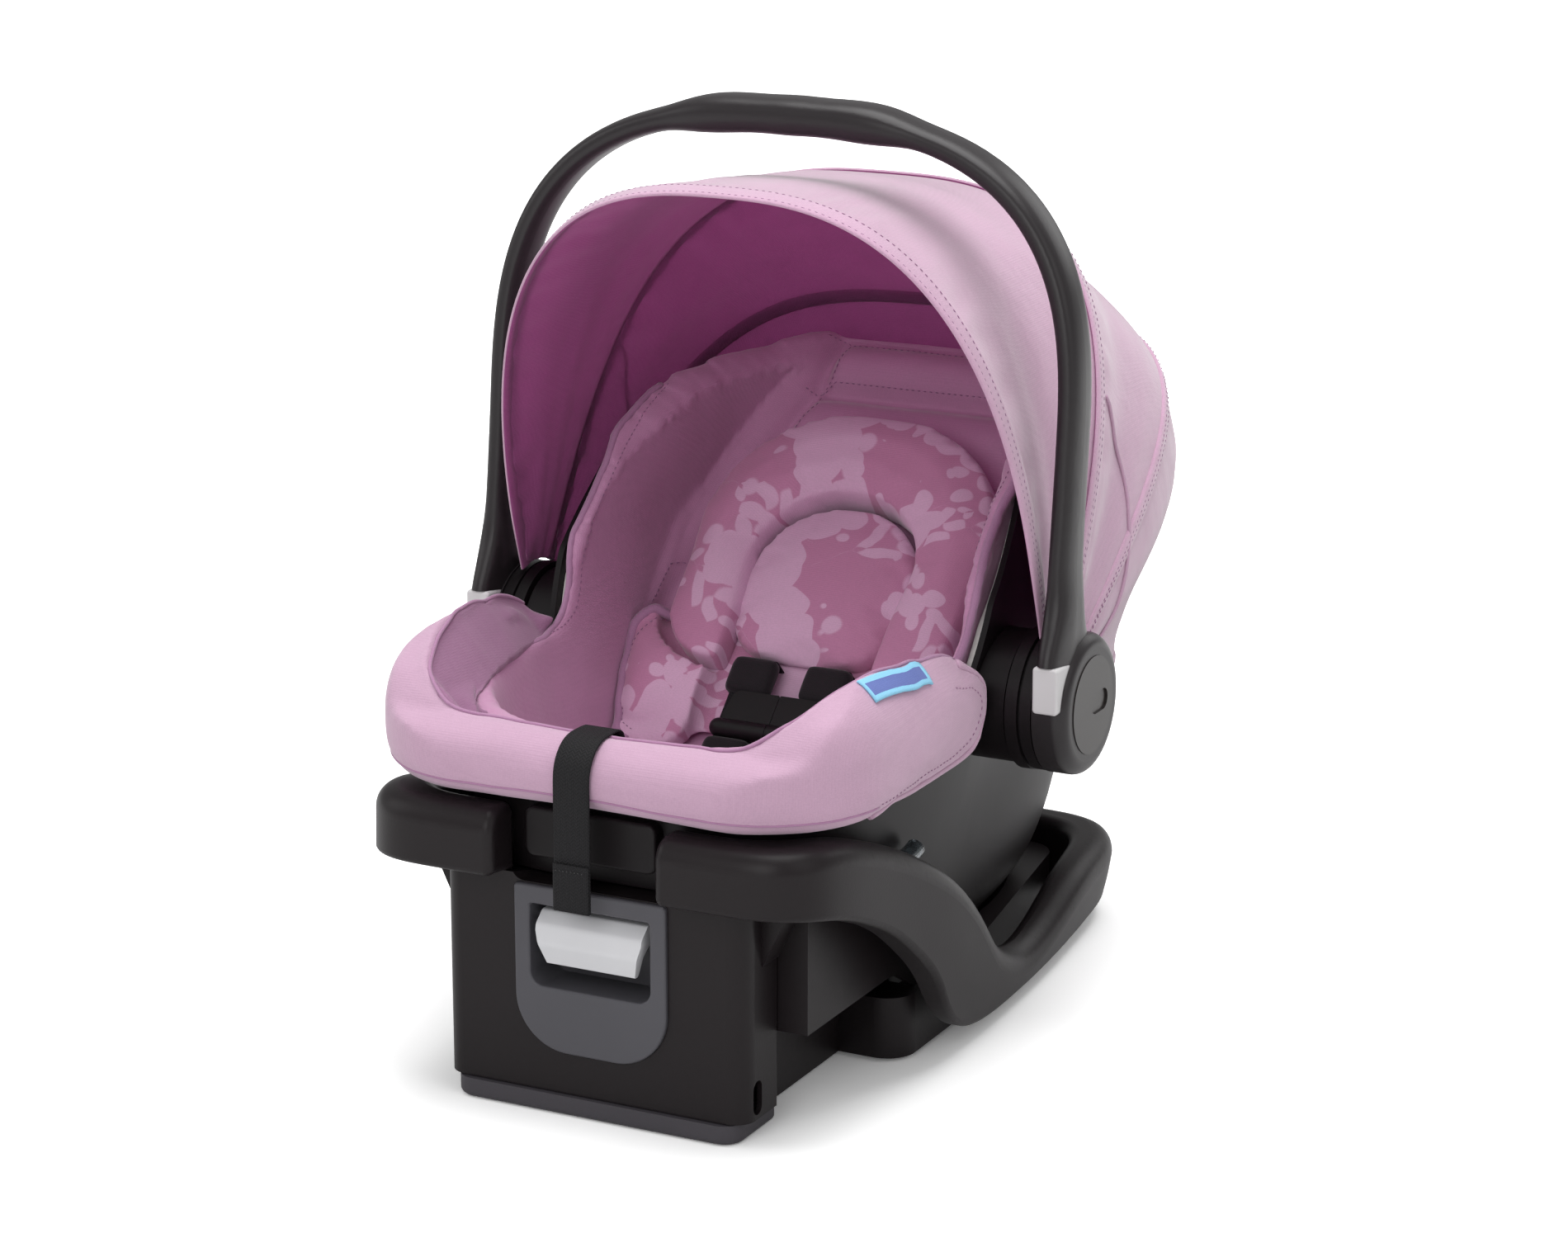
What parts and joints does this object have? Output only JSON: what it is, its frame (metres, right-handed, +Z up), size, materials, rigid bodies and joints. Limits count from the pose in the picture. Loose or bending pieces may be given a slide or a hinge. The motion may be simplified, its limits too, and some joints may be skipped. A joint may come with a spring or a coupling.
{
  "type": "infant car seat",
  "caption": "Rear-facing infant car seat docked on its base, with a folding fabric canopy, a swinging carry handle, a padded seat with a harness, a squeeze lever and a recline foot.",
  "frame": {"origin": "bottom centre of the bounding box, on the floor under the base", "axes": "+Z up, -Y towards the occupant's feet (the lever side), +X to the left-hand hub of a child in the seat, which is on the right seen from the lever side; metres"},
  "size_m": [0.4392, 0.6227, 0.6],
  "materials": {
    "base_plastic": "fine satin grain moulded in",
    "foot_plastic": "fine satin grain moulded in, a little lighter",
    "bezel_plastic": "satin",
    "lever_plastic": "smooth satin light grey",
    "shell_plastic": "satin",
    "handle_plastic": "satin",
    "disc_plastic": "polished",
    "button_plastic": "smooth satin light grey",
    "harness_plastic": "fine grain",
    "buckle_red": "polished",
    "foam": "expanded foam, hidden",
    "pad_fabric": "brushed knit, mauve",
    "outer_fabric": "woven twill, light lilac pink",
    "insert_fabric": "brushed knit with a printed leaf pattern",
    "webbing": "woven polyester webbing, black",
    "steel": "zinc plated",
    "rubber": "moulded",
    "clear": "clear moulded plastic",
    "ball_orange": "polished"
  },
  "bodies": {
    "base": {"base_tower": "base_plastic", "base_rim": "base_plastic", "base_tub": "base_plastic", "front_bezel": "bezel_plastic", "lever_pin": "steel", "base_pads": "rubber", "level_window_right": "clear", "level_window_left": "clear"},
    "recline_foot": {"recline_foot": "foot_plastic"},
    "adjust_lever": {"adjust_lever": "lever_plastic"},
    "level_ball_right": {"level_ball_right": "ball_orange"},
    "level_ball_left": {"level_ball_left": "ball_orange"},
    "carrier": {"shell": "shell_plastic", "nose_plate": "shell_plastic", "foam_liner": "foam", "seat_liner": "pad_fabric", "front_roll": "outer_fabric", "head_ring": "insert_fabric", "head_cushion": "insert_fabric", "body_insert": "insert_fabric", "shoulder_strap_right": "webbing", "shoulder_strap_left": "webbing", "shoulder_cover_right": "webbing", "shoulder_cover_left": "webbing", "chest_clip_right": "harness_plastic", "chest_clip_left": "harness_plastic", "buckle_body": "harness_plastic", "crotch_strap": "webbing", "roll_strap": "webbing", "hub_housing_right": "shell_plastic", "hub_housing_left": "shell_plastic", "pivot_bolts": "steel", "canopy_rear": "outer_fabric", "rear_bow": "steel"},
    "buckle_button": {"buckle_button": "buckle_red"},
    "handle": {"handle_frame": "handle_plastic", "hub_disc_right": "disc_plastic", "hub_disc_left": "disc_plastic"},
    "handle_button_right": {"handle_button_right": "button_plastic"},
    "handle_button_left": {"handle_button_left": "button_plastic"},
    "canopy_middle": {"canopy_middle": "outer_fabric", "middle_bow": "steel"},
    "canopy_front": {"canopy_front": "outer_fabric", "front_bow": "steel"}
  },
  "joints": [
    {"name": "foot_extends", "type": "slide", "parent": "base", "child": "recline_foot", "axis": [0, 0, -1], "range_m": [0, 0.032]},
    {"name": "lever_squeezes", "type": "hinge", "parent": "base", "child": "adjust_lever", "pos_m": [0, -0.27385, 0.125], "axis": [-1, 0, 0], "range_deg": [0, 18], "stiffness_Nm_per_rad": 0.35, "springref_deg": -14.32},
    {"name": "level_ball_right_rolls", "type": "hinge", "parent": "base", "child": "level_ball_right", "pos_m": [0.14, -0.13685, 0.206], "axis": [-1, 0, 0], "range_deg": [-10, 10]},
    {"name": "level_ball_left_rolls", "type": "hinge", "parent": "base", "child": "level_ball_left", "pos_m": [-0.14, -0.13685, 0.206], "axis": [-1, 0, 0], "range_deg": [-10, 10]},
    {"name": "carrier_lifts_off", "type": "slide", "parent": "base", "child": "carrier", "axis": [0, 0, 1], "range_m": [0, 0.25]},
    {"name": "buckle_button_presses", "type": "slide", "parent": "carrier", "child": "buckle_button", "axis": [0, 0, -1], "range_m": [0, 0.0022], "stiffness_N_per_m": 900, "springref_m": -0.002},
    {"name": "handle_swings", "type": "hinge", "parent": "carrier", "child": "handle", "pos_m": [0, -0.02485, 0.228], "axis": [-1, 0, 0], "range_deg": [0, 118]},
    {"name": "handle_button_right_presses", "type": "slide", "parent": "handle", "child": "handle_button_right", "axis": [0, 1, 0], "range_m": [0, 0.004], "stiffness_N_per_m": 800, "springref_m": -0.002},
    {"name": "handle_button_left_presses", "type": "slide", "parent": "handle", "child": "handle_button_left", "axis": [0, 1, 0], "range_m": [0, 0.004], "stiffness_N_per_m": 800, "springref_m": -0.002},
    {"name": "canopy_middle_folds", "type": "hinge", "parent": "carrier", "child": "canopy_middle", "pos_m": [0, -0.02485, 0.228], "axis": [-1, 0, 0], "range_deg": [0, 11]},
    {"name": "canopy_front_folds", "type": "hinge", "parent": "canopy_middle", "child": "canopy_front", "pos_m": [0, -0.02485, 0.228], "axis": [-1, 0, 0], "range_deg": [0, 28]}
  ]
}
